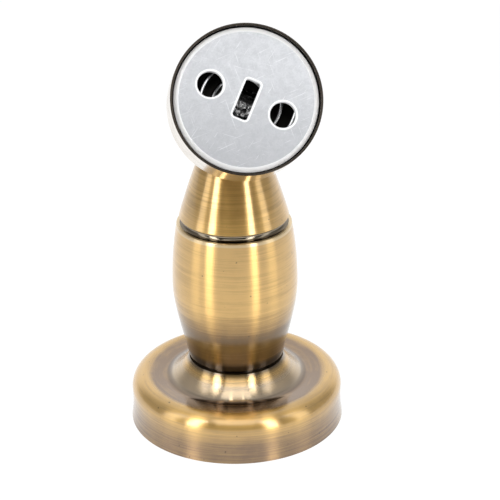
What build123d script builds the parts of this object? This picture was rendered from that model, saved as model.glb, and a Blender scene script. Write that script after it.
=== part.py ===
from build123d import *
import os
from math import atan2, cos, degrees, radians, sin

# Magnetic door stop: a turned post with a magnet head, and the sprung catch that the head holds.
# +Z runs up the post, the origin is at the middle of the base's underside, and the head faces -Y.
# Lengths are in millimetres and angles in degrees.

# Fits shared by all pieces
slip_fit = 0.3
thread_fit = 0.05

# Base cover
foot_radius = 25.0
waist_inset = 0.4
waist_height = 3.85
shoulder_inset = 0.3
shoulder_height = 7.55
shoulder_round = 3.5
ledge_dish = 0.4
hub_rise = 4.8
hub_run = 4.8
hub_crown = 12.5
cover_wall = 1.2
seat_margin = 0.2

# Stem, as radii of its outline and rises above the foot of each barrel
stem_foot_radius = 10.85
foot_neck_depth = 1.0
foot_neck_height = 0.9
flank_radius = 13.62
flank_rise = 11.9
belly_radius = 14.5
belly_rise = 19.4
lower_top_radius = 13.2
lower_length = 34.1
groove_width = 1.7
groove_depth = 0.6
upper_foot_margin = 0.2
upper_bulge = 0.2
neck_radius = 7.37
neck_reach = 4.8
spigot_radius = 8.5
spigot_length = 3.0
edge_break = 0.25
foot_edge_break = 0.12

# Fixing to the floor
screw_circle_radius = 16.0
screw_hole_radius = 2.25
screw_head_radius = 4.4
screw_count = 3
screw_first_angle = 90.0
bolt_radius = 4.0
bolt_head_flats = 13.0
bolt_head_height = 5.3
bolt_head_recess = 0.6
bolt_engagement = 10.0
hole_tip = 1.0
thread_chamfer = 0.5
tie_radius = 3.0
tie_depth = 9.0
tie_grip = 6.0

# Magnet head, with lengths along its own axis from its centre
head_rise = 23.2
head_tilt = 29.0
head_radius = 12.4
head_length = 16.5
head_wall = 1.6
head_rim_round = 0.8
socket_depth = 9.0
holder_wall = 1.2
holder_proud = 0.9
pot_wall = 1.5
magnet_gap = 0.8
magnet_screw_radius = 1.5
magnet_screw_head_radius = 2.9
magnet_screw_grip = 5.0
cross_length = 3.5
cross_width = 0.6
cross_depth = 0.9
buffer_height = 1.5
buffer_margin = 0.3

# Door catch
cup_radius = 16.1
cup_depth = 12.2
cup_wall = 0.5
cup_corner = 1.4
cup_rim_round = 0.15
plate_recess = 0.65
plate_thickness = 1.5
plate_bevel_width = 0.95
plate_bevel_depth = 0.55
door_screw_spacing = 16.5
door_screw_count = 2
door_hole_radius = 2.72
door_hole_angle = -26.4
slot_length = 8.4
slot_width = 3.25
slot_corner = 0.6
hole_edge_round = 0.3
rivet_shank_radius = 1.5
rivet_collar_height = 1.4
rivet_head_radius = 3.2
rivet_head_height = 2.0
rivet_head_round = 1.0
spring_wire_radius = 0.5
spring_small_radius = 4.6
spring_large_radius = 11.2
spring_turns = 2.33
spring_seat = 0.1

# Radii and heights worked out from them
waist_radius = foot_radius - waist_inset
shoulder_radius = foot_radius - shoulder_inset
ledge_height = shoulder_height + shoulder_round
crease_height = ledge_height - ledge_dish
hub_top = crease_height + hub_rise
hub_seat_radius = stem_foot_radius + seat_margin
hub_foot_radius = hub_seat_radius + hub_run
groove_height = hub_top + lower_length
upper_foot_height = groove_height + groove_width
upper_foot_radius = head_radius + upper_foot_margin
groove_radius = upper_foot_radius - foot_edge_break
head_height = upper_foot_height + head_rise
neck_height = head_height - head_radius + neck_reach
bolt_top = hub_top + bolt_engagement
tie_bottom = groove_height - tie_depth
tie_top = head_height - head_radius + tie_grip

# The head's axis, the plane across it and the plane of its section, where x is the radius
head_direction = Vector(0, -cos(radians(head_tilt)), sin(radians(head_tilt)))
head_centre = Vector(0, 0, head_height)
head_axis = Axis(head_centre, head_direction)
head_plane = Plane(head_centre, x_dir=(1, 0, 0), z_dir=head_direction)
head_section = Plane(head_centre, x_dir=(1, 0, 0), z_dir=-head_plane.y_dir)

# Stations along the head's axis
socket_floor = head_length - socket_depth
holder_radius = head_radius - head_wall
pot_radius = holder_radius - holder_wall
pot_floor = socket_floor + holder_wall
pot_mouth = head_length + holder_proud
magnet_radius = pot_radius - pot_wall - magnet_gap
magnet_floor = pot_floor + pot_wall
cup_back = head_length + buffer_height
cup_floor = cup_back + cup_wall
cup_mouth = cup_back + cup_depth
cup_bore_radius = cup_radius - cup_wall
plate_radius = cup_bore_radius - slip_fit
plate_outer = cup_mouth - plate_recess
plate_inner = plate_outer - plate_thickness

os.makedirs("parts", exist_ok=True)

# Base cover: a spun shell with a drawn-in side, a rounded shoulder, a dished ledge and a domed hub
with BuildPart() as base_cover:
    with BuildSketch(Plane.XZ):
        with BuildLine():
            side = ThreePointArc(
                (foot_radius, 0),
                (waist_radius, waist_height),
                (shoulder_radius, shoulder_height),
            )
            shoulder = RadiusArc(
                side @ 1,
                (shoulder_radius - shoulder_round, ledge_height),
                -shoulder_round,
            )
            ledge = Line(shoulder @ 1, (hub_foot_radius, crease_height))
            hub = RadiusArc(ledge @ 1, (hub_seat_radius, hub_top), -hub_crown)
            Polyline(hub @ 1, (0, hub_top), (0, 0), (foot_radius, 0))
        make_face()
    revolve(axis=Axis.Z)
    offset(amount=-cover_wall, openings=base_cover.faces().sort_by(Axis.Z)[0])
    with Locations((0, 0, hub_top)):
        Hole(bolt_radius + slip_fit)
base_cover.part.label = "base_cover"
export_step(base_cover.part, "parts/base_cover.step")

# Mounting base: fills the cover, is screwed to the floor and holds up the hub
mounting_radius = min(waist_radius, shoulder_radius) - cover_wall - slip_fit
mounting_height = crease_height - cover_wall - slip_fit
with BuildPart() as mounting_base:
    with BuildSketch():
        Circle(mounting_radius)
    extrude(amount=mounting_height)
    fillet(mounting_base.edges().group_by(Axis.Z)[-1], shoulder_round)
    with BuildSketch(Plane.XY.offset(mounting_height)):
        Circle(hub_seat_radius - cover_wall)
    extrude(amount=hub_top - cover_wall - mounting_height)
    with BuildSketch():
        RegularPolygon(bolt_head_flats / 2 + slip_fit, 6, major_radius=False)
    extrude(amount=bolt_head_recess + bolt_head_height, mode=Mode.SUBTRACT)
    with Locations((0, 0, hub_top)):
        Hole(bolt_radius + thread_fit)
    with Locations((0, 0, mounting_height)):
        with PolarLocations(screw_circle_radius, screw_count, start_angle=screw_first_angle):
            CounterSinkHole(screw_hole_radius, screw_head_radius)
mounting_base.part.label = "mounting_base"
export_step(mounting_base.part, "parts/mounting_base.step")

# Floor bolt: hexagon head in the mounting base's underside, shank up into the stem
with BuildPart() as floor_bolt:
    with BuildSketch(Plane.XY.offset(bolt_head_recess)):
        RegularPolygon(bolt_head_flats / 2, 6, major_radius=False)
    extrude(amount=bolt_head_height)
    with BuildSketch(Plane.XY.offset(bolt_head_recess + bolt_head_height)):
        Circle(bolt_radius)
    extrude(amount=bolt_top - bolt_head_recess - bolt_head_height)
    chamfer(floor_bolt.edges().group_by(Axis.Z)[-1], thread_chamfer)
floor_bolt.part.label = "floor_bolt"
export_step(floor_bolt.part, "parts/floor_bolt.step")

# Lower barrel: turned belly with a neck at its foot and a spigot on top, tapped from below and from above
with BuildPart() as lower_barrel:
    with BuildSketch(Plane.XZ):
        with BuildLine():
            flank = Spline(
                (stem_foot_radius, hub_top),
                (flank_radius, hub_top + flank_rise),
                (belly_radius, hub_top + belly_rise),
                tangents=[(flank_radius - stem_foot_radius, flank_rise), (0, 1)],
            )
            belly = TangentArc(flank @ 1, (lower_top_radius, groove_height), tangent=flank % 1)
            Polyline(belly @ 1, (0, groove_height), (0, hub_top), flank @ 0)
        make_face()
    revolve(axis=Axis.Z)
    fillet(lower_barrel.edges().group_by(Axis.Z)[-1], edge_break)
    with BuildSketch(Plane.XY.offset(hub_top)):
        Circle(belly_radius)
        Circle(stem_foot_radius - foot_neck_depth, mode=Mode.SUBTRACT)
    extrude(amount=foot_neck_height, mode=Mode.SUBTRACT)
    with BuildSketch(Plane.XY.offset(groove_height)):
        Circle(spigot_radius)
    extrude(amount=groove_width + spigot_length)
    with BuildSketch(Plane.XY.offset(hub_top)):
        Circle(bolt_radius + thread_fit)
    extrude(amount=bolt_engagement + hole_tip, mode=Mode.SUBTRACT)
    with BuildSketch(Plane.XY.offset(tie_bottom - hole_tip)):
        Circle(tie_radius + thread_fit)
    extrude(amount=tie_depth + hole_tip + groove_width + spigot_length, mode=Mode.SUBTRACT)
lower_barrel.part.label = "lower_barrel"
export_step(lower_barrel.part, "parts/lower_barrel.step")

# Trim ring: polished ring on the spigot, with a hollow face between the edges of both barrels
with BuildPart() as trim_ring:
    with BuildSketch(Plane.XZ):
        with BuildLine():
            cove = SagittaArc(
                (groove_radius, groove_height),
                (groove_radius, upper_foot_height),
                groove_depth,
            )
            Polyline(
                cove @ 1,
                (spigot_radius + thread_fit, upper_foot_height),
                (spigot_radius + thread_fit, groove_height),
                cove @ 0,
            )
        make_face()
    revolve(axis=Axis.Z)
trim_ring.part.label = "trim_ring"
export_step(trim_ring.part, "parts/trim_ring.step")

# Outside of the magnet head, also used to cut the stem's saddle
with BuildPart() as head_form:
    with BuildSketch(head_section):
        with BuildLine():
            dome = RadiusArc((0, -head_radius), (head_radius, 0), -head_radius)
            Polyline(dome @ 1, (head_radius, head_length), (0, head_length), dome @ 0)
        make_face()
    revolve(axis=head_axis)

# Upper barrel: turned cone with a socket for the spigot and a saddle for the head
with BuildPart() as upper_barrel:
    with BuildSketch(Plane.XZ):
        with BuildLine():
            cone = SagittaArc(
                (upper_foot_radius, upper_foot_height), (neck_radius, neck_height), -upper_bulge
            )
            Polyline(cone @ 1, (0, neck_height), (0, upper_foot_height), cone @ 0)
        make_face()
    revolve(axis=Axis.Z)
    fillet(upper_barrel.edges().group_by(Axis.Z)[0], foot_edge_break)
    add(head_form.part, mode=Mode.SUBTRACT)
    with BuildSketch(Plane.XY.offset(upper_foot_height)):
        Circle(spigot_radius + thread_fit)
    extrude(amount=spigot_length + slip_fit, mode=Mode.SUBTRACT)
    with BuildSketch(Plane.XY.offset(upper_foot_height)):
        Circle(tie_radius + thread_fit)
    extrude(until=Until.LAST, mode=Mode.SUBTRACT)
upper_barrel.part.label = "upper_barrel"
export_step(upper_barrel.part, "parts/upper_barrel.step")

# Tie stud: headless stud that pulls the head and both barrels together
with BuildPart() as tie_stud:
    with BuildSketch(Plane.XY.offset(tie_bottom)):
        Circle(tie_radius)
    extrude(amount=tie_top - tie_bottom)
    chamfer(tie_stud.edges().filter_by(GeomType.CIRCLE), thread_chamfer)
tie_stud.part.label = "tie_stud"
export_step(tie_stud.part, "parts/tie_stud.step")

# Magnet head: the bullet form with a socket in front, tapped for the magnet's screw and the stud
with BuildPart() as magnet_head:
    add(head_form.part)
    fillet(magnet_head.edges().sort_by(head_axis)[-1], head_rim_round)
    with BuildSketch(head_plane.offset(socket_floor)):
        Circle(holder_radius)
    extrude(amount=socket_depth, mode=Mode.SUBTRACT)
    with BuildSketch(head_plane.offset(socket_floor - magnet_screw_grip - hole_tip)):
        Circle(magnet_screw_radius + thread_fit)
    extrude(amount=magnet_screw_grip + hole_tip, mode=Mode.SUBTRACT)
    with BuildSketch(Plane.XY.offset(head_height - head_radius)):
        Circle(tie_radius + thread_fit)
    extrude(amount=tie_grip + hole_tip, mode=Mode.SUBTRACT)
magnet_head.part.label = "magnet_head"
export_step(magnet_head.part, "parts/magnet_head.step")

# Magnet holder: plastic sleeve with a floor, standing a little proud of the head
with BuildPart() as magnet_holder:
    with BuildSketch(head_plane.offset(socket_floor)):
        Circle(holder_radius - thread_fit)
    extrude(amount=pot_mouth - socket_floor)
    with BuildSketch(head_plane.offset(pot_floor)):
        Circle(pot_radius)
    extrude(amount=pot_mouth - pot_floor, mode=Mode.SUBTRACT)
    with BuildSketch(head_plane.offset(socket_floor)):
        Circle(magnet_screw_radius + slip_fit)
    extrude(amount=holder_wall, mode=Mode.SUBTRACT)
magnet_holder.part.label = "magnet_holder"
export_step(magnet_holder.part, "parts/magnet_holder.step")

# Pole pot: steel cup that leads the magnet's field to the front
with BuildPart() as pole_pot:
    with BuildSketch(head_plane.offset(pot_floor)):
        Circle(pot_radius - thread_fit)
    extrude(amount=pot_mouth - pot_floor)
    with BuildSketch(head_plane.offset(magnet_floor)):
        Circle(pot_radius - pot_wall)
    extrude(amount=pot_mouth - magnet_floor, mode=Mode.SUBTRACT)
    with BuildSketch(head_plane.offset(pot_floor)):
        Circle(magnet_screw_radius + slip_fit)
    extrude(amount=pot_wall, mode=Mode.SUBTRACT)
pole_pot.part.label = "pole_pot"
export_step(pole_pot.part, "parts/pole_pot.step")

# Magnet: ring with a countersink for its screw
with BuildPart() as magnet:
    with BuildSketch(head_plane.offset(magnet_floor)):
        Circle(magnet_radius)
    extrude(amount=pot_mouth - magnet_floor)
    with Locations(head_plane.offset(pot_mouth)):
        CounterSinkHole(magnet_screw_radius + slip_fit, magnet_screw_head_radius + slip_fit)
magnet.part.label = "magnet"
export_step(magnet.part, "parts/magnet.step")

# Magnet screw: countersunk head flush with the magnet, with a cross slot
with BuildPart() as magnet_screw:
    with BuildSketch(head_section):
        with BuildLine():
            cone_foot = pot_mouth - magnet_screw_head_radius + magnet_screw_radius
            Polyline(
                (0, socket_floor - magnet_screw_grip),
                (magnet_screw_radius, socket_floor - magnet_screw_grip),
                (magnet_screw_radius, cone_foot),
                (magnet_screw_head_radius, pot_mouth),
                (0, pot_mouth),
                close=True,
            )
        make_face()
    revolve(axis=head_axis)
    with BuildSketch(head_plane.offset(pot_mouth)):
        Rectangle(cross_length, cross_width)
        Rectangle(cross_width, cross_length)
    extrude(amount=-cross_depth, mode=Mode.SUBTRACT)
magnet_screw.part.label = "magnet_screw"
export_step(magnet_screw.part, "parts/magnet_screw.step")

# Buffer ring: rubber ring round the holder's rim, on which the catch lands
with BuildPart() as buffer_ring:
    with BuildSketch(head_plane.offset(head_length)):
        Circle(head_radius - head_rim_round + buffer_margin)
        Circle(holder_radius, mode=Mode.SUBTRACT)
    extrude(amount=buffer_height)
buffer_ring.part.label = "buffer_ring"
export_step(buffer_ring.part, "parts/buffer_ring.step")

# Catch cup: drawn cup with a rounded closed end, which the magnet holds
with BuildPart() as catch_cup:
    with BuildSketch(head_plane.offset(cup_back)):
        Circle(cup_radius)
    extrude(amount=cup_depth)
    fillet(catch_cup.edges().sort_by(head_axis)[0], cup_corner)
    offset(amount=-cup_wall, openings=catch_cup.faces().sort_by(head_axis)[-1])
    fillet(catch_cup.faces().sort_by(head_axis)[-1].edges(), cup_rim_round)
    with BuildSketch(head_plane.offset(cup_back)):
        Circle(rivet_shank_radius + thread_fit)
    extrude(amount=cup_wall, mode=Mode.SUBTRACT)
catch_cup.part.label = "catch_cup"
export_step(catch_cup.part, "parts/catch_cup.step")

# Catch rivet: shank through the cup's floor, collar that grips the spring, peened head
rivet_collar_radius = spring_small_radius - spring_wire_radius - spring_seat
rivet_collar_top = cup_floor + rivet_collar_height
with BuildPart() as catch_rivet:
    with BuildSketch(head_plane.offset(cup_back)):
        Circle(rivet_shank_radius)
    extrude(amount=cup_wall)
    with BuildSketch(head_plane.offset(cup_floor)):
        Circle(rivet_collar_radius)
    extrude(amount=rivet_collar_height)
    with BuildSketch(head_plane.offset(rivet_collar_top)):
        Circle(rivet_head_radius)
    extrude(amount=rivet_head_height)
    fillet(catch_rivet.edges().sort_by(head_axis)[-1], rivet_head_round)
catch_rivet.part.label = "catch_rivet"
export_step(catch_rivet.part, "parts/catch_rivet.step")

# Catch spring: conical coil from the rivet's collar out to the plate
coil_foot = cup_floor + spring_wire_radius + spring_seat
coil_height = plate_inner - spring_wire_radius - spring_seat - coil_foot
coil_cone = degrees(atan2(spring_large_radius - spring_small_radius, coil_height))
coil_pitch = coil_height / (spring_turns * cos(radians(coil_cone)))
with BuildPart() as catch_spring:
    with BuildLine():
        coil = Helix(
            coil_pitch,
            coil_height,
            spring_small_radius,
            center=head_plane.offset(coil_foot).origin,
            direction=head_direction,
            cone_angle=coil_cone,
        )
    with BuildSketch(Plane(coil @ 0, z_dir=coil % 0)):
        Circle(spring_wire_radius)
    sweep(path=coil, is_frenet=True)
catch_spring.part.label = "catch_spring"
export_step(catch_spring.part, "parts/catch_spring.step")

# Catch plate: bevelled steel disc with two screw holes and a slot across the line between them
with BuildPart() as catch_plate:
    with BuildSketch(head_section):
        with BuildLine():
            Polyline(
                (0, plate_inner),
                (plate_radius, plate_inner),
                (plate_radius, plate_outer - plate_bevel_depth),
                (plate_radius - plate_bevel_width, plate_outer),
                (0, plate_outer),
                close=True,
            )
        make_face()
    revolve(axis=head_axis)
    with BuildSketch(head_plane.offset(plate_inner)):
        with PolarLocations(door_screw_spacing / 2, door_screw_count, start_angle=door_hole_angle):
            Circle(door_hole_radius)
        RectangleRounded(slot_width, slot_length, slot_corner, rotation=door_hole_angle)
    extrude(amount=plate_thickness, mode=Mode.SUBTRACT)
    plate_front = catch_plate.faces().sort_by(head_axis)[-1]
    fillet([edge for hole in plate_front.inner_wires() for edge in hole.edges()], hole_edge_round)
catch_plate.part.label = "catch_plate"
export_step(catch_plate.part, "parts/catch_plate.step")
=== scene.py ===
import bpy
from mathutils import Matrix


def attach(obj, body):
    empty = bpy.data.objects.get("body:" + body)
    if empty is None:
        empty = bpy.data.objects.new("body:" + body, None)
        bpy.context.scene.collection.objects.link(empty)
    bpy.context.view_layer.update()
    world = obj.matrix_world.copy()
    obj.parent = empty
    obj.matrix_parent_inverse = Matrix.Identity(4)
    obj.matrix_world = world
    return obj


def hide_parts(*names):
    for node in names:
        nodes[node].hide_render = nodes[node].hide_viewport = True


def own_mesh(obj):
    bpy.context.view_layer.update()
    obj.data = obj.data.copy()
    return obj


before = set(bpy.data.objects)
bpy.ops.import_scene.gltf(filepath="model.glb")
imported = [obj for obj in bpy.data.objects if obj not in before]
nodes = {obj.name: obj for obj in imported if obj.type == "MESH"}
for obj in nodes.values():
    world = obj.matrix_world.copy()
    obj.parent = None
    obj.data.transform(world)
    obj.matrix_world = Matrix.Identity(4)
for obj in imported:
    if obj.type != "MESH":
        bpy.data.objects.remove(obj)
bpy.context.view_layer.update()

import math
from typing import NamedTuple

import bmesh
import bpy
from mathutils import Matrix, Vector

MM = 0.001
scene = bpy.context.scene

# The head's axis, and stations along it from the head's centre
HEAD_TILT = math.radians(29.0)
HEAD_CENTRE = Vector((0, 0, 74.45)) * MM
HEAD_AXIS = Vector((0, -math.cos(HEAD_TILT), math.sin(HEAD_TILT)))
CUP_FLOOR = 18.5 * MM
CUP_MOUTH = 30.2 * MM
PLATE_INNER = 28.05 * MM
PLATE_OUTER = 29.55 * MM

# Openings of the catch plate: two door holes in a row, and a slot across the row
HOLE_ROW_ANGLE = math.radians(-26.4)
ALONG_ROW = (math.cos(HOLE_ROW_ANGLE), math.sin(HOLE_ROW_ANGLE), 0)
ACROSS_ROW = (-math.sin(HOLE_ROW_ANGLE), math.cos(HOLE_ROW_ANGLE), 0)
HOLE_REACH = 8.25 * MM
HOLE_RADIUS = 2.72 * MM
SLOT_LENGTH = 8.4 * MM
SLOT_WIDTH = 3.25 * MM
SLOT_CORNER = 0.6 * MM


# Camera, at the photo's view
CAMERA_PLACE = Vector((-48.74, -414.05, 237.35)) * MM
CAMERA_AZIMUTH = math.radians(-7.2)
CAMERA_PITCH = math.radians(25.1)
CAMERA_ROLL = math.radians(-0.7)
CAMERA_LENS = 144.0
CAMERA_SENSOR = 36.0
camera_data = bpy.data.cameras.new("camera")
camera_data.lens = CAMERA_LENS
camera_data.sensor_width = CAMERA_SENSOR
camera = bpy.data.objects.new("camera", camera_data)
camera_turn = (
    Matrix.Rotation(CAMERA_AZIMUTH, 4, "Z")
    @ Matrix.Rotation(math.pi / 2 - CAMERA_PITCH, 4, "X")
    @ Matrix.Rotation(CAMERA_ROLL, 4, "Z")
)
camera.matrix_world = Matrix.Translation(CAMERA_PLACE) @ camera_turn
scene.collection.objects.link(camera)
scene.camera = camera
scene.view_settings.view_transform = "Standard"


# Node helpers
class Fade(NamedTuple):
    """A weight that grows smoothly from nought at start to full at end."""

    start: float
    end: float
    weight: float = 1.0


class Band(NamedTuple):
    """A weight between low and high that fades to nought outside them."""

    low: float
    high: float
    fade: float
    weight: float


class Tree:
    """Adds nodes to one node tree; an input given as a socket is linked, anything else is set."""

    def __init__(self, tree):
        self.tree = tree

    def add(self, kind, inputs=None, **settings):
        made = self.tree.nodes.new(kind)
        for key, value in settings.items():
            setattr(made, key, value)
        for key, value in (inputs or {}).items():
            self.put(made.inputs[key], value)
        return made

    def put(self, socket, value):
        if isinstance(value, bpy.types.NodeSocket):
            self.tree.links.new(value, socket)
        else:
            socket.default_value = value

    def math(self, operation, first, second=0.0, third=0.0, clamp=False):
        inputs = {0: first, 1: second, 2: third}
        return self.add("ShaderNodeMath", inputs, operation=operation, use_clamp=clamp).outputs[0]

    def weigh(self, first, first_share, second, second_share):
        """Sum of two values, each times its share."""
        return self.math("MULTIPLY_ADD", first, first_share, self.math("MULTIPLY", second, second_share))

    def hypot(self, first, second):
        """Root of the sum of two squares."""
        squares = self.math("MULTIPLY_ADD", first, first, self.math("MULTIPLY", second, second))
        return self.math("SQRT", squares)

    def vector(self, operation, first, second=(0, 0, 0)):
        made = self.add("ShaderNodeVectorMath", {0: first, 1: second}, operation=operation)
        return made.outputs["Value" if operation in ("DOT_PRODUCT", "LENGTH") else "Vector"]

    def part(self, vector, axis):
        """One coordinate of a vector."""
        return self.add("ShaderNodeSeparateXYZ", {0: vector}).outputs[axis]

    def radius(self, vector):
        """Distance from the z axis."""
        return self.vector("LENGTH", self.vector("MULTIPLY", vector, (1, 1, 0)))

    def ramp(self, value, low, high, to_low=0.0, to_high=1.0):
        """Smooth step from to_low at low to to_high at high."""
        made = self.add(
            "ShaderNodeMapRange",
            {"Value": value, "From Min": low, "From Max": high, "To Min": to_low, "To Max": to_high},
            interpolation_type="SMOOTHSTEP",
        )
        return made.outputs["Result"]

    def fade(self, value, shape):
        return self.ramp(value, shape.start, shape.end, to_high=shape.weight)

    def band(self, value, shape):
        rise = self.ramp(value, shape.low - shape.fade, shape.low)
        fall = self.ramp(value, shape.high + shape.fade, shape.high)
        return self.math("MULTIPLY", self.math("MULTIPLY", rise, fall), shape.weight)

    def noise(self, vector, scale=1.0, detail=2.0, roughness=0.5, distortion=0.0):
        made = self.add("ShaderNodeTexNoise", {"Vector": vector, "Scale": scale, "Detail": detail})
        made.inputs["Roughness"].default_value = roughness
        made.inputs["Distortion"].default_value = distortion
        return made.outputs["Fac"]

    def mix(self, share, first, second):
        """Colour from first to second; a mix node's colour sockets are inputs 6 and 7 and output 2."""
        return self.add("ShaderNodeMix", {0: share, 6: first, 7: second}, data_type="RGBA").outputs[2]

    def bump(self, height, strength, distance):
        inputs = {"Height": height, "Strength": strength, "Distance": distance}
        return self.add("ShaderNodeBump", inputs).outputs["Normal"]


def rgb(red, green, blue):
    """Linear colour from 8-bit sRGB values."""
    out = []
    for value in (red, green, blue):
        value /= 255
        out.append(value / 12.92 if value <= 0.04045 else ((value + 0.055) / 1.055) ** 2.4)
    return (*out, 1.0)


def scaled(colour, factor):
    """A colour times a factor."""
    return (*(factor * value for value in colour[:3]), 1.0)


def material(name):
    """A new material, its tree and its shader."""
    made = bpy.data.materials.new(name)
    made.use_nodes = True
    made.node_tree.nodes.clear()
    tree = Tree(made.node_tree)
    shader = tree.add("ShaderNodeBsdfPrincipled")
    tree.add("ShaderNodeOutputMaterial", {"Surface": shader.outputs[0]})
    return made, tree, shader


def local(tree, tilted):
    """Object coordinates with z along the piece's own axis of turning."""
    place = tree.add("ShaderNodeTexCoord").outputs["Object"]
    if not tilted:
        return place
    turned = tree.add("ShaderNodeMapping", {"Vector": place}, vector_type="TEXTURE")
    turned.inputs["Location"].default_value = HEAD_CENTRE
    turned.inputs["Rotation"].default_value = (math.pi / 2 - HEAD_TILT, 0, 0)
    return turned.outputs["Vector"]


def stretched(tree, place, across, along):
    """Coordinates in cells: across per metre in x and y, along per metre in z."""
    return tree.vector("MULTIPLY", place, (across, across, along))


def tangent_round(tree, tilted):
    """Direction round the piece's axis of turning."""
    place = tree.add("ShaderNodeTexCoord").outputs["Object"]
    axis, origin = (HEAD_AXIS, HEAD_CENTRE) if tilted else (Vector((0, 0, 1)), Vector((0, 0, 0)))
    return tree.vector("CROSS_PRODUCT", axis, tree.vector("SUBTRACT", place, origin))


# Brass: its tones, and the lacquer over it
GOLD = (0.77, 0.485, 0.155, 1)
# BROWN on the post and DUN on the base are the darker tones of the painted shade, and DUN also of the
# base's darker low side
BROWN = (0.24, 0.13, 0.026, 1)
DUN = (0.25, 0.155, 0.085, 1)
# Near black for the pits, and for painted shade in creases and at the stem's foot
PIT_AND_SHADE_DARK = (0.03, 0.018, 0.008, 1)
PALE = (0.6, 0.48, 0.33, 1)
# A pale gold for the painted highlight on the rim under the groove
PAINTED_GLINT_GOLD = (0.88, 0.75, 0.5, 1)
POLISH_GLOSS = 0.6
LACQUER_ROUGHNESS = 0.15
LACQUER_IOR = 1.7
QUARTER_TURN = 0.25

# The base's tones, on the side by height and on the top by radius, with painted shade on the ledge and in
# the hub's creases
# Darker brass low on the base's side
SIDE_DARKER_LOW = Fade(9.5 * MM, 3.5 * MM, 0.8)
# Painted shade on the ledge, for the dark stem foot that it mirrors
LEDGE_PAINTED_SHADE = Band(15.6 * MM, 19.4 * MM, 2.2 * MM, 0.95)
# Painted shade in the crease at the hub's seat under the stem and in the valley at the hub's foot
SEAT_PAINTED_SHADE = Fade(12.0 * MM, 11.0 * MM, 0.9)
HUB_FOOT_PAINTED_SHADE = Band(15.5 * MM, 16.1 * MM, 0.6 * MM, 0.45)
# A paler, less golden band round the hub
HUB_PALE_BAND = Band(13.1 * MM, 15.0 * MM, 1.2 * MM, 0.75)
TOP_POLISH = Fade(22.0 * MM, 18.5 * MM)
HUB_POLISH = Fade(13.0 * MM, 15.2 * MM)
SEAT_POLISH_SHARE = 0.3

# The post's painted shade and painted highlight, by height
# Painted shade: darker above the groove, on the lower flank and at the foot, for the dark things these
# parts mirror
UPPER_PAINTED_SHADE = Fade(51.5 * MM, 56.5 * MM, 0.28)
FLANK_PAINTED_SHADE = Fade(34.0 * MM, 26.5 * MM, 0.7)
STEM_FOOT_PAINTED_SHADE = Fade(27.6 * MM, 25.6 * MM, 0.3)
# Painted shade at the stem's foot and in the crease where it meets the hub
FOOT_SHADE = Fade(27.6 * MM, 24.6 * MM, 0.3)
FOOT_CREASE_SHADE = Fade(19.9 * MM, 17.1 * MM, 0.92)
# Painted highlight on the lower barrel's rounded top edge under the groove
GROOVE_RIM_PAINTED_HIGHLIGHT = Band(48.9 * MM, 49.6 * MM, 0.3 * MM, 0.5)


def antique_brass(name, tilted=False, relief=None, dark_tone=BROWN, pale_tone=PAINTED_GLINT_GOLD):
    """Brushed brass under lacquer; relief gives by radius and height a darker tone that is mostly painted
    shade, painted shade in creases, a paler tone that is partly a painted highlight, and polish.
    """
    made, tree, shader = material(name)
    place = local(tree, tilted)
    fine = tree.noise(stretched(tree, place, across=90, along=9000), detail=2.0)
    coarse = tree.noise(stretched(tree, place, across=45, along=2300), detail=3.0, roughness=0.6)
    cloud = tree.noise(place, scale=140, detail=4.0, roughness=0.6)
    lines = tree.weigh(coarse, 0.6, fine, 0.4)
    tone = tree.weigh(cloud, 0.3, lines, 0.7)
    # The darker share is painted shade, and on the base's side a darker tone; the crease share is painted
    # shade; the pale share is a painted highlight on the post and a paler band on the hub
    darkening, painted_shade, paling, polish = 0.0, 0.0, 0.0, 0.0
    if relief:
        darkening, painted_shade, paling, polish = relief(tree, tree.radius(place), tree.part(place, "Z"))
    share = tree.ramp(tone, low=0.36, high=0.66, to_low=-0.14, to_high=0.26)
    share = tree.math("ADD", share, darkening, clamp=True)
    pits = tree.ramp(tree.noise(place, scale=850, detail=1.0), low=0.75, high=0.8, to_high=0.55)
    colour = tree.mix(paling, tree.mix(share, GOLD, dark_tone), pale_tone)
    colour = tree.mix(tree.math("MAXIMUM", painted_shade, pits), colour, PIT_AND_SHADE_DARK)
    brushed = tree.ramp(lines, low=0.3, high=0.7, to_low=0.28, to_high=0.36)
    dullness = tree.math("SUBTRACT", 1.0, tree.math("MULTIPLY", polish, POLISH_GLOSS))
    tree.put(shader.inputs["Base Color"], colour)
    tree.put(shader.inputs["Roughness"], tree.math("MULTIPLY", brushed, dullness))
    tree.put(shader.inputs["Tangent"], tangent_round(tree, tilted))
    tree.put(shader.inputs["Normal"], tree.bump(lines, strength=0.25, distance=0.02 * MM))
    shader.inputs["Metallic"].default_value = 1.0
    shader.inputs["Anisotropic"].default_value = 1.0
    shader.inputs["Anisotropic Rotation"].default_value = QUARTER_TURN
    shader.inputs["Coat Weight"].default_value = 1.0
    shader.inputs["Coat Roughness"].default_value = LACQUER_ROUGHNESS
    shader.inputs["Coat IOR"].default_value = LACQUER_IOR
    return made


def base_relief(tree, radius, height):
    """Darker low on the side; painted shade on the ledge, at the hub's seat and at its foot; a paler band
    on a polished hub.
    """
    darkening = tree.math("MAXIMUM", tree.fade(height, SIDE_DARKER_LOW), tree.band(radius, LEDGE_PAINTED_SHADE))
    painted_shade = tree.math("MAXIMUM", tree.fade(radius, SEAT_PAINTED_SHADE), tree.band(radius, HUB_FOOT_PAINTED_SHADE))
    hub = tree.ramp(radius, HUB_POLISH.start, HUB_POLISH.end, to_low=SEAT_POLISH_SHARE)
    polish = tree.math("MULTIPLY", tree.fade(radius, TOP_POLISH), hub)
    return darkening, painted_shade, tree.band(radius, HUB_PALE_BAND), polish


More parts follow.
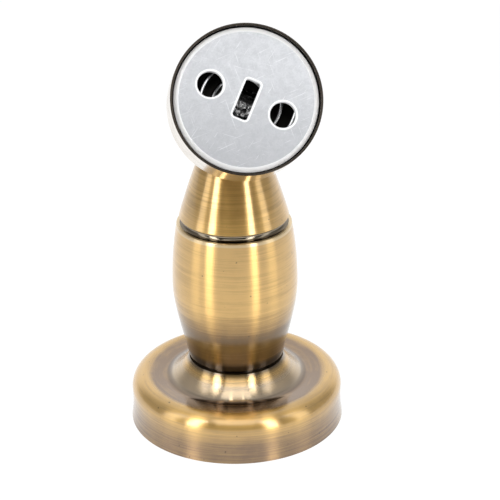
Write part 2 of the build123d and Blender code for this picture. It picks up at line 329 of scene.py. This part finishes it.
def post_relief(tree, radius, height):
    """Painted shade above the groove, on the lower flank and at the foot, and a painted highlight on the
    rim under the groove.
    """
    lower = tree.math("ADD", tree.fade(height, FLANK_PAINTED_SHADE), tree.fade(height, STEM_FOOT_PAINTED_SHADE))
    darkening = tree.math("ADD", tree.fade(height, UPPER_PAINTED_SHADE), lower)
    painted_shade = tree.math("MAXIMUM", tree.fade(height, FOOT_SHADE), tree.fade(height, FOOT_CREASE_SHADE))
    return darkening, painted_shade, tree.band(height, GROOVE_RIM_PAINTED_HIGHLIGHT), 0.0


# Plain metals and mouldings
DARKER = 0.72
LIGHTER = 1.5
MOULDED_SPREAD = 0.08


def plain_metal(name, colour, roughness, spread, grain=900, bump=0.01, tilted=True):
    """Metal with a fine fleck; bump is the fleck's depth in millimetres."""
    made, tree, shader = material(name)
    place = local(tree, tilted)
    fleck = tree.noise(place, scale=grain, detail=4.0, roughness=0.6)
    cloud = tree.noise(place, scale=160, detail=3.0)
    shade = tree.weigh(cloud, 0.5, fleck, 0.5)
    tone = tree.mix(tree.ramp(shade, low=0.35, high=0.65), scaled(colour, DARKER), colour)
    gloss = tree.ramp(shade, low=0.3, high=0.7, to_low=roughness + spread, to_high=roughness - spread)
    tree.put(shader.inputs["Base Color"], tone)
    tree.put(shader.inputs["Roughness"], gloss)
    tree.put(shader.inputs["Normal"], tree.bump(fleck, strength=0.3, distance=bump * MM))
    shader.inputs["Metallic"].default_value = 1.0
    return made


def moulded(name, colour, roughness, grain, bump):
    """Dull plastic or rubber; bump is the grain's depth in millimetres."""
    made, tree, shader = material(name)
    place = local(tree, True)
    fleck = tree.noise(place, scale=grain, detail=3.0, roughness=0.6)
    cloud = tree.noise(place, scale=220, detail=3.0)
    tone = tree.mix(tree.ramp(cloud, low=0.3, high=0.7), colour, scaled(colour, LIGHTER))
    rough, smooth = roughness + MOULDED_SPREAD, roughness - MOULDED_SPREAD
    tree.put(shader.inputs["Base Color"], tone)
    tree.put(shader.inputs["Roughness"], tree.ramp(fleck, low=0.3, high=0.7, to_low=rough, to_high=smooth))
    tree.put(shader.inputs["Normal"], tree.bump(fleck, strength=0.4, distance=bump * MM))
    return made


# Catch plate: zinc tones, darker towards the bottom, scratches and painted highlights on the edges
ZINC_DARK = (0.5, 0.515, 0.54, 1)
ZINC_LIGHT = (0.59, 0.605, 0.63, 1)
# A darker grey towards the plate's bottom
ZINC_DARKEST = (0.33, 0.34, 0.36, 1)
SCRATCHED = (0.85, 0.86, 0.88, 1)
# Near white: painted highlight on the plate's rim bevel and round its holes and slot
EDGE_HIGHLIGHT = (0.93, 0.94, 0.95, 1)
DARKER_BELOW = Fade(9.0 * MM, -14.0 * MM, 0.45)
PLATE_RIM = Fade(14.2 * MM, 14.4 * MM)
EDGE_FROM = 0.55 * MM
EDGE_FULL = 0.35 * MM
ZINC_METALLIC = 0.5
SCRATCH_SHARE = 0.5
EDGE_MATT = 0.25


class Scratches(NamedTuple):
    """One set of scratches: its direction in degrees, its density and its shift in the noise."""

    angle: float
    density: float
    shift: float


SCRATCH_SETS = (
    Scratches(20, 1.0, 0.0),
    Scratches(75, 0.8, 3.1),
    Scratches(128, 1.2, 7.7),
    Scratches(160, 0.9, 11.3),
)
SCRATCHES_ALONG = 190
SCRATCHES_ACROSS = 5200


def scratched(tree, place):
    """One on fine scratches in several directions."""
    marks = 0.0
    for scratches in SCRATCH_SETS:
        turned = tree.add("ShaderNodeMapping", {"Vector": place})
        turned.inputs["Rotation"].default_value = (0, 0, math.radians(scratches.angle))
        turned.inputs["Location"].default_value = (scratches.shift, scratches.shift, 0)
        cells = (SCRATCHES_ALONG * scratches.density, SCRATCHES_ACROSS * scratches.density, 1)
        drawn = tree.vector("MULTIPLY", turned.outputs["Vector"], cells)
        mark = tree.ramp(tree.noise(drawn, detail=1.0, distortion=0.6), low=0.69, high=0.78)
        marks = tree.math("MAXIMUM", marks, mark)
    return marks


def edge_highlights(tree, place):
    """Painted highlight: one on the plate's rim and round its holes and its slot."""
    along = tree.math("ABSOLUTE", tree.vector("DOT_PRODUCT", place, ALONG_ROW))
    aside = tree.math("ABSOLUTE", tree.vector("DOT_PRODUCT", place, ACROSS_ROW))
    hole = tree.hypot(tree.math("SUBTRACT", along, HOLE_REACH), aside)
    past_side = tree.math("SUBTRACT", along, SLOT_WIDTH / 2 - SLOT_CORNER)
    past_end = tree.math("SUBTRACT", aside, SLOT_LENGTH / 2 - SLOT_CORNER)
    slot = tree.hypot(tree.math("MAXIMUM", past_side, 0.0), tree.math("MAXIMUM", past_end, 0.0))
    lit_edges = tree.fade(tree.radius(place), PLATE_RIM)
    for distance, radius in ((hole, HOLE_RADIUS), (slot, SLOT_CORNER)):
        edge = tree.ramp(distance, radius + EDGE_FROM, radius + EDGE_FULL)
        lit_edges = tree.math("MAXIMUM", lit_edges, edge)
    return lit_edges


def zinc_plate(name):
    """Zinc plated steel, mottled and finely scratched, darker towards the bottom, with painted highlights
    on its edges.
    """
    made, tree, shader = material(name)
    place = local(tree, True)
    cloud = tree.noise(place, scale=620, detail=5.0, roughness=0.65)
    grain = tree.noise(place, scale=2600, detail=3.0, roughness=0.6)
    tone = tree.weigh(cloud, 0.6, grain, 0.4)
    marks = scratched(tree, place)
    lit_edges = edge_highlights(tree, place)
    colour = tree.mix(tree.ramp(tone, low=0.34, high=0.66), ZINC_DARK, ZINC_LIGHT)
    colour = tree.mix(tree.fade(tree.part(place, "Y"), DARKER_BELOW), colour, ZINC_DARKEST)
    colour = tree.mix(tree.math("MULTIPLY", marks, SCRATCH_SHARE), colour, SCRATCHED)
    colour = tree.mix(lit_edges, colour, EDGE_HIGHLIGHT)
    gloss = tree.ramp(tone, low=0.3, high=0.7, to_low=0.46, to_high=0.36)
    height = tree.weigh(grain, 0.6, marks, -0.6)
    tree.put(shader.inputs["Base Color"], colour)
    tree.put(shader.inputs["Roughness"], tree.math("MULTIPLY_ADD", lit_edges, EDGE_MATT, gloss))
    tree.put(shader.inputs["Normal"], tree.bump(height, strength=0.2, distance=0.01 * MM))
    shader.inputs["Metallic"].default_value = ZINC_METALLIC
    return made


# Catch cup: nickel tones, a painted dark reflection on the rim of its mouth and its dull inside
NICKEL_LIGHT = rgb(232, 224, 212)
NICKEL_DARK = rgb(214, 205, 192)
# Near black: a painted dark reflection on the rim of the cup's mouth
CUP_MOUTH_SHADE_DARK = (0.045, 0.038, 0.031, 1)
CUP_INSIDE_DARK = rgb(58, 56, 54)
CUP_MOUTH_SHADE_BAND = Fade(CUP_MOUTH - 0.22 * MM, CUP_MOUTH - 0.12 * MM)
CUP_BELOW_PLATE = Fade(PLATE_OUTER + 0.05 * MM, PLATE_OUTER - 0.1 * MM)
CUP_INSIDE = Fade(15.8 * MM, 15.68 * MM)
INSIDE_MATT = 0.4


def polished_cup(name):
    """Mirror polished nickel with a painted dark reflection on the rim of its mouth and a dull inside."""
    made, tree, shader = material(name)
    place = local(tree, True)
    height = tree.part(place, "Z")
    below = tree.fade(height, CUP_BELOW_PLATE)
    inside = tree.math("MULTIPLY", tree.fade(tree.radius(place), CUP_INSIDE), below)
    haze = tree.noise(place, scale=300, detail=4.0)
    hair = tree.noise(stretched(tree, place, across=70, along=7000), detail=2.0)
    colour = tree.mix(tree.ramp(haze, low=0.35, high=0.7), NICKEL_LIGHT, NICKEL_DARK)
    colour = tree.mix(tree.fade(height, CUP_MOUTH_SHADE_BAND), colour, CUP_MOUTH_SHADE_DARK)
    colour = tree.mix(inside, colour, CUP_INSIDE_DARK)
    gloss = tree.ramp(haze, low=0.3, high=0.7, to_low=0.12, to_high=0.17)
    tree.put(shader.inputs["Base Color"], colour)
    tree.put(shader.inputs["Roughness"], tree.math("MULTIPLY_ADD", inside, INSIDE_MATT, gloss))
    tree.put(shader.inputs["Normal"], tree.bump(hair, strength=0.08, distance=0.01 * MM))
    shader.inputs["Metallic"].default_value = 1.0
    return made


# Rivet: steel, dark on its upper side as painted shade
RIVET_SHADE_DARK = (0.03, 0.03, 0.03, 1)
RIVET_LIT_STEEL = (0.78, 0.78, 0.78, 1)
RIVET_LIT_SIDE = Fade(0.9 * MM, -0.3 * MM)


def hammered(name):
    """Steel with the crumpled face of a set rivet, with painted shade darkening its upper side."""
    made, tree, shader = material(name)
    place = local(tree, True)
    dent = tree.noise(place, scale=620, detail=2.0, roughness=0.5, distortion=1.2)
    fleck = tree.noise(place, scale=2400, detail=3.0)
    # Painted shade: the rivet's upper side is dark and its lower side lit, with dark patches in the
    # crumpled face
    lower = tree.fade(tree.vector("DOT_PRODUCT", place, ACROSS_ROW), RIVET_LIT_SIDE)
    lit_share = tree.math("MULTIPLY", tree.ramp(dent, low=0.35, high=0.6), lower)
    gloss = tree.ramp(fleck, low=0.3, high=0.7, to_low=0.2, to_high=0.36)
    tree.put(shader.inputs["Base Color"], tree.mix(lit_share, RIVET_SHADE_DARK, RIVET_LIT_STEEL))
    tree.put(shader.inputs["Roughness"], gloss)
    tree.put(shader.inputs["Normal"], tree.bump(dent, strength=0.9, distance=0.8 * MM))
    shader.inputs["Metallic"].default_value = 1.0
    return made


# Trim ring: bronze tones by height, lighter towards the top as a painted reflection, and how far its face
# leans back
BRONZE_LOW = (0.2, 0.165, 0.12, 1)
BRONZE_LIT_TOP = (0.28, 0.24, 0.18, 1)
# Painted reflection: the ring is lighter towards its top
BRONZE_PAINTED_LIGHT_RISE = Fade(49.7 * MM, 50.6 * MM)
FACE_LEAN = -0.35
LINE_DEPTH = 0.03


def trim_bronze(name):
    """Dark polished bronze with a painted lighter reflection towards the groove's upper edge, its face
    leaning back.
    """
    made, tree, shader = material(name)
    place = local(tree, False)
    height = tree.part(place, "Z")
    lines = tree.noise(stretched(tree, place, across=60, along=6000), detail=2.0)
    streaks = tree.ramp(lines, low=0.3, high=0.7, to_low=-0.1, to_high=0.1)
    tone = tree.math("ADD", tree.fade(height, BRONZE_PAINTED_LIGHT_RISE), streaks, clamp=True)
    gloss = tree.ramp(lines, low=0.3, high=0.7, to_low=0.08, to_high=0.13)
    slope = tree.weigh(height, FACE_LEAN / MM, lines, LINE_DEPTH)
    tree.put(shader.inputs["Base Color"], tree.mix(tone, BRONZE_LOW, BRONZE_LIT_TOP))
    tree.put(shader.inputs["Roughness"], gloss)
    tree.put(shader.inputs["Normal"], tree.bump(slope, strength=1.0, distance=1.0 * MM))
    shader.inputs["Metallic"].default_value = 1.0
    return made


# Materials of the pieces
PLASTIC_BLACK = (0.018, 0.018, 0.019, 1)
RUBBER_BLACK = (0.022, 0.022, 0.022, 1)
brass_base = antique_brass("antique_brass_base", relief=base_relief, dark_tone=DUN, pale_tone=PALE)
brass_post = antique_brass("antique_brass_post", relief=post_relief)
brass_head = antique_brass("antique_brass_head", tilted=True)
cast_zinc = plain_metal(
    "cast_zinc", rgb(168, 169, 171), roughness=0.5, spread=0.1, grain=1400, bump=0.05, tilted=False
)
zinc_steel = plain_metal("zinc_steel", rgb(204, 206, 208), roughness=0.42, spread=0.08)
magnet_nickel = plain_metal("magnet_nickel", rgb(196, 196, 198), roughness=0.3, spread=0.06)
wire_steel = plain_metal("spring_steel", rgb(222, 222, 224), roughness=0.2, spread=0.05, grain=1800)
finish = {
    "lower_barrel": brass_post,
    "upper_barrel": brass_post,
    "magnet_head": brass_head,
    "trim_ring": trim_bronze("dark_bronze"),
    "mounting_base": cast_zinc,
    "floor_bolt": zinc_steel,
    "tie_stud": zinc_steel,
    "magnet_holder": moulded("black_plastic", PLASTIC_BLACK, roughness=0.42, grain=3200, bump=0.03),
    "pole_pot": zinc_steel,
    "magnet": magnet_nickel,
    "magnet_screw": zinc_steel,
    "buffer_ring": moulded("black_rubber", RUBBER_BLACK, roughness=0.68, grain=4200, bump=0.06),
    "catch_cup": polished_cup("polished_nickel"),
    "catch_rivet": hammered("rivet_steel"),
    "catch_plate": zinc_plate("zinc_plate"),
}
for name, made in finish.items():
    slots = nodes[name].data.materials
    slots.clear()
    slots.append(made)


# Mesh helpers
def bridge(shape, first, second):
    """Faces between two closed rows of corners."""
    for here in range(len(first)):
        after = (here + 1) % len(first)
        shape.faces.new((first[here], first[after], second[after], second[here]))


def to_object(shape, name, surface):
    """An object of the shape, in the scene, with one material."""
    bmesh.ops.recalc_face_normals(shape, faces=shape.faces)
    mesh = bpy.data.meshes.new(name)
    shape.to_mesh(mesh)
    shape.free()
    mesh.materials.append(surface)
    placed = bpy.data.objects.new(name, mesh)
    scene.collection.objects.link(placed)
    return placed


# Base cover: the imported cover's side, shoulder and wall, with its hub flared into the ledge
COVER_WALL = 1.2 * MM
COVER_FOOT_RADIUS = 24.99 * MM
COVER_WAIST = (24.6 * MM, 3.85 * MM)
COVER_SIDE = (24.7 * MM, 7.55 * MM)
SHOULDER_ROUND = 3.5 * MM
FILLET_ROUND = 3.0 * MM
HUB_SEAT = (11.05 * MM, 15.45 * MM)
HUB_HOLE = 4.3 * MM
LEDGE_NORMAL = math.radians(98.0)
FILLET_NORMAL = math.radians(54.0)
SEAT_NORMAL = math.radians(30.0)
SHARP_ANGLE = math.radians(25.0)
SIDE_STEPS = 8
SHOULDER_STEPS = 16
FILLET_STEPS = 14
FLARE_STEPS = 12
COVER_SIDES = 160


def side_stretch():
    """Radius, height and normal up the drawn-in side, a parabola through its foot, waist and top."""
    waist_radius, waist_height = COVER_WAIST
    top_radius, top_height = COVER_SIDE
    rate = (waist_radius - COVER_FOOT_RADIUS) / waist_height
    bend = ((top_radius - COVER_FOOT_RADIUS) / top_height - rate) / (top_height - waist_height)
    out = []
    for step in range(SIDE_STEPS + 1):
        height = top_height * step / SIDE_STEPS
        radius = COVER_FOOT_RADIUS + rate * height + bend * height * (height - waist_height)
        slope = rate + bend * (2 * height - waist_height)
        out.append((radius, height, -math.atan(slope)))
    return out


def round_stretch(start, radius, first, last, steps):
    """Radius, height and normal along an arc from start; a hollow arc has a negative radius."""
    out = []
    for step in range(1, steps + 1):
        normal = first + (last - first) * step / steps
        out.append((
            start[0] + radius * (math.cos(normal) - math.cos(first)),
            start[1] + radius * (math.sin(normal) - math.sin(first)),
            normal,
        ))
    return out


def cover_outline():
    """Radius, height and normal of the cover's outside, from its foot to the stem's seat.

    The ledge's length and the flare's radius follow from the run and the rise that the shoulder and
    the fillet leave to them.
    """
    out = side_stretch()
    out += round_stretch(COVER_SIDE, SHOULDER_ROUND, 0.0, LEDGE_NORMAL, SHOULDER_STEPS)
    crest = out[-1]
    ledge_in, ledge_up = math.sin(LEDGE_NORMAL), math.cos(LEDGE_NORMAL)
    fillet_in, fillet_up = math.sin(FILLET_NORMAL), math.cos(FILLET_NORMAL)
    seat_in, seat_up = math.sin(SEAT_NORMAL), math.cos(SEAT_NORMAL)
    run = crest[0] - HUB_SEAT[0] - FILLET_ROUND * (fillet_up - ledge_up)
    rise = HUB_SEAT[1] - crest[1] - FILLET_ROUND * (ledge_in - fillet_in)
    share = (seat_up - fillet_up) / (fillet_in - seat_in)
    ledge = (run - share * rise) / (ledge_in - share * ledge_up)
    flare = (rise - ledge * ledge_up) / (fillet_in - seat_in)
    out.append((crest[0] - ledge * ledge_in, crest[1] + ledge * ledge_up, LEDGE_NORMAL))
    out += round_stretch(out[-1], -FILLET_ROUND, LEDGE_NORMAL, FILLET_NORMAL, FILLET_STEPS)
    out += round_stretch(out[-1], -flare, FILLET_NORMAL, SEAT_NORMAL, FLARE_STEPS)
    return out


def cover_section():
    """Radius and height round the cover's wall: up the outside, over the hole and down the inside."""
    outline = cover_outline()
    ceiling = HUB_SEAT[1] - COVER_WALL
    inside = []
    for radius, height, normal in outline:
        inner_height = height - COVER_WALL * math.sin(normal)
        if inner_height < ceiling:
            inside.append((radius - COVER_WALL * math.cos(normal), max(inner_height, 0.0)))
    out = [(radius, height) for radius, height, normal in outline]
    out += [(HUB_HOLE, HUB_SEAT[1]), (HUB_HOLE, ceiling), (inside[-1][0], ceiling)]
    return out + inside[::-1]


section = cover_section()
cover = bmesh.new()
rings = []
for side in range(COVER_SIDES):
    angle = 2 * math.pi * side / COVER_SIDES
    out_x, out_y = math.cos(angle), math.sin(angle)
    rings.append([cover.verts.new((radius * out_x, radius * out_y, height)) for radius, height in section])
for first, second in zip(rings, rings[1:] + rings[:1]):
    bridge(cover, first, second)
flared_cover = to_object(cover, "flared_cover", brass_base)
flared_cover.data.shade_smooth()
flared_cover.data.set_sharp_from_angle(angle=SHARP_ANGLE)
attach(flared_cover, "post")
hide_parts("base_cover")


# Catch spring: a conical coil of round wire from the cup's floor to the plate
WIRE_RADIUS = 0.5 * MM
COIL_SMALL = 4.6 * MM
COIL_LARGE = 11.2 * MM
COIL_TURNS = 2.33
COIL_SEAT = 0.1 * MM
COIL_START = math.radians(-90)
COIL_FOOT = CUP_FLOOR + WIRE_RADIUS + COIL_SEAT
COIL_TOP = PLATE_INNER - WIRE_RADIUS - COIL_SEAT
COIL_STEPS = 168
WIRE_SIDES = 16
SMALL_STEP = 1e-4
RIGHTWARD = Vector((1, 0, 0))
UPWARD = HEAD_AXIS.cross(RIGHTWARD)


def on_coil(share):
    """Point on the wire's centre line, from the cup's floor at nought to the plate at one."""
    angle = COIL_START + 2 * math.pi * COIL_TURNS * share
    radius = COIL_SMALL + (COIL_LARGE - COIL_SMALL) * share
    centre = HEAD_CENTRE + HEAD_AXIS * (COIL_FOOT + (COIL_TOP - COIL_FOOT) * share)
    return centre + (RIGHTWARD * math.cos(angle) + UPWARD * math.sin(angle)) * radius


def wire_ring(shape, share):
    """Corners round the wire at one place on the coil."""
    centre = on_coil(share)
    ahead = (on_coil(share + SMALL_STEP) - on_coil(share - SMALL_STEP)).normalized()
    side = ahead.cross(HEAD_AXIS).normalized()
    rise = side.cross(ahead)
    ring = []
    for corner in range(WIRE_SIDES):
        angle = 2 * math.pi * corner / WIRE_SIDES
        outward = side * math.cos(angle) + rise * math.sin(angle)
        ring.append(shape.verts.new(centre + outward * WIRE_RADIUS))
    return ring


coil = bmesh.new()
rings = [wire_ring(coil, step / COIL_STEPS) for step in range(COIL_STEPS + 1)]
for first, second in zip(rings, rings[1:]):
    bridge(coil, first, second)
coil.faces.new(rings[0][::-1])
coil.faces.new(rings[-1])
wire = to_object(coil, "sprung_coil", wire_steel)
# The wire is smooth and its two ends are flat
for face in wire.data.polygons:
    face.use_smooth = len(face.vertices) == 4
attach(wire, "catch")
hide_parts("catch_spring")
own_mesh(wire)


# Floor: white where it is seen or mirrored, with the part's shadow kept
FLOOR_HALF = 3.0
FLOOR_DROP = 0.05 * MM
FLOOR_COLOUR = (0.9, 0.9, 0.9, 1)
WHITE = (1, 1, 1, 1)
FLOOR_GLOW = 1.08
FLOOR_GLOW_SHARE = 0.88
floor_corners = [(x * FLOOR_HALF, y * FLOOR_HALF, 0) for x, y in ((-1, -1), (1, -1), (1, 1), (-1, 1))]
floor_mesh = bpy.data.meshes.new("floor")
floor_mesh.from_pydata(floor_corners, [], [(0, 1, 2, 3)])
floor = bpy.data.objects.new("floor", floor_mesh)
floor.location.z = -FLOOR_DROP
scene.collection.objects.link(floor)
paper = bpy.data.materials.new("floor_paper")
paper.use_nodes = True
paper.node_tree.nodes.clear()
tree = Tree(paper.node_tree)
rays = tree.add("ShaderNodeLightPath")
seen = tree.math("ADD", rays.outputs["Is Camera Ray"], rays.outputs["Is Glossy Ray"])
seen = tree.math("ADD", seen, rays.outputs["Is Transmission Ray"], clamp=True)
share = tree.math("MULTIPLY", seen, FLOOR_GLOW_SHARE)
matt = tree.add("ShaderNodeBsdfDiffuse", {"Color": FLOOR_COLOUR})
glow = tree.add("ShaderNodeEmission", {"Color": WHITE, "Strength": FLOOR_GLOW})
blend = tree.add("ShaderNodeMixShader", {0: share, 1: matt.outputs[0], 2: glow.outputs[0]})
tree.add("ShaderNodeOutputMaterial", {"Surface": blend.outputs[0]})
floor_mesh.materials.append(paper)


# World: a studio that is white behind, grey at the sides and overhead, and dim in front
SIDES_LOW = (0.29, 0.29, 0.3, 1)
SIDES_HIGH = (0.46, 0.46, 0.47, 1)
FRONT_DIM = (0.068, 0.058, 0.046, 1)
SIDES_RISE = Fade(0.35, 0.7)
CEILING = Fade(0.72, 0.92)
IN_FRONT = Fade(0.3, 0.8)
BEHIND = Fade(-0.5, -0.9)
LEAST_REACH = 0.001
FRONT = (math.sin(CAMERA_AZIMUTH), -math.cos(CAMERA_AZIMUTH), 0.0)
world = bpy.data.worlds.new("studio")
scene.world = world
world.use_nodes = True
world.node_tree.nodes.clear()
tree = Tree(world.node_tree)
way = tree.add("ShaderNodeTexCoord").outputs["Generated"]
height = tree.part(way, "Z")
reach = tree.math("MAXIMUM", tree.radius(way), LEAST_REACH)
facing = tree.math("DIVIDE", tree.vector("DOT_PRODUCT", way, FRONT), reach)
below_ceiling = tree.math("SUBTRACT", 1.0, tree.fade(height, CEILING))
dim = tree.math("MULTIPLY", tree.fade(facing, IN_FRONT), below_ceiling)
level = tree.mix(tree.fade(height, SIDES_RISE), SIDES_LOW, SIDES_HIGH)
level = tree.mix(tree.fade(facing, BEHIND), level, WHITE)
level = tree.mix(dim, level, FRONT_DIM)
back = tree.add("ShaderNodeBackground", {"Color": level, "Strength": 1.0})
tree.add("ShaderNodeOutputWorld", {"Surface": back.outputs[0]})


# Lamps: two tall strips for the streaks, two weaker ones further round, and a soft box above
LAMP_DISTANCE = 0.3
POWER_PER_RADIANCE = 4
STRIP_HEIGHT = 0.17
STRIP_LENGTH = 0.34
STEM_MIDDLE = Vector((0, 0, 0.05))
SOFTBOX_HEIGHT = 0.47
SOFTBOX_SIZE = 0.36
HUB_FRONT = Vector((0, -0.014, 0.013))


def lamp(name, azimuth, height, width, length, radiance, aim):
    """A rectangular lamp that is aimed at a point; azimuth is in degrees from the front."""
    data = bpy.data.lights.new(name, "AREA")
    data.shape = "RECTANGLE"
    data.size = width
    data.size_y = length
    data.energy = POWER_PER_RADIANCE * radiance * width * length
    placed = bpy.data.objects.new(name, data)
    angle = math.radians(azimuth)
    placed.location = (LAMP_DISTANCE * math.sin(angle), -LAMP_DISTANCE * math.cos(angle), height)
    placed.rotation_euler = (aim - placed.location).to_track_quat("-Z", "Y").to_euler()
    scene.collection.objects.link(placed)


def strip(name, azimuth, width, radiance):
    lamp(name, azimuth, STRIP_HEIGHT, width, STRIP_LENGTH, radiance, STEM_MIDDLE)


strip("strip_left", azimuth=-53.0, width=0.075, radiance=4.2)
strip("strip_right", azimuth=29.0, width=0.065, radiance=4.2)
strip("strip_far_left", azimuth=-80.0, width=0.095, radiance=1.1)
strip("strip_far_right", azimuth=64.0, width=0.095, radiance=1.0)
lamp("softbox", -9.0, SOFTBOX_HEIGHT, SOFTBOX_SIZE, SOFTBOX_SIZE, radiance=1.3, aim=HUB_FRONT)
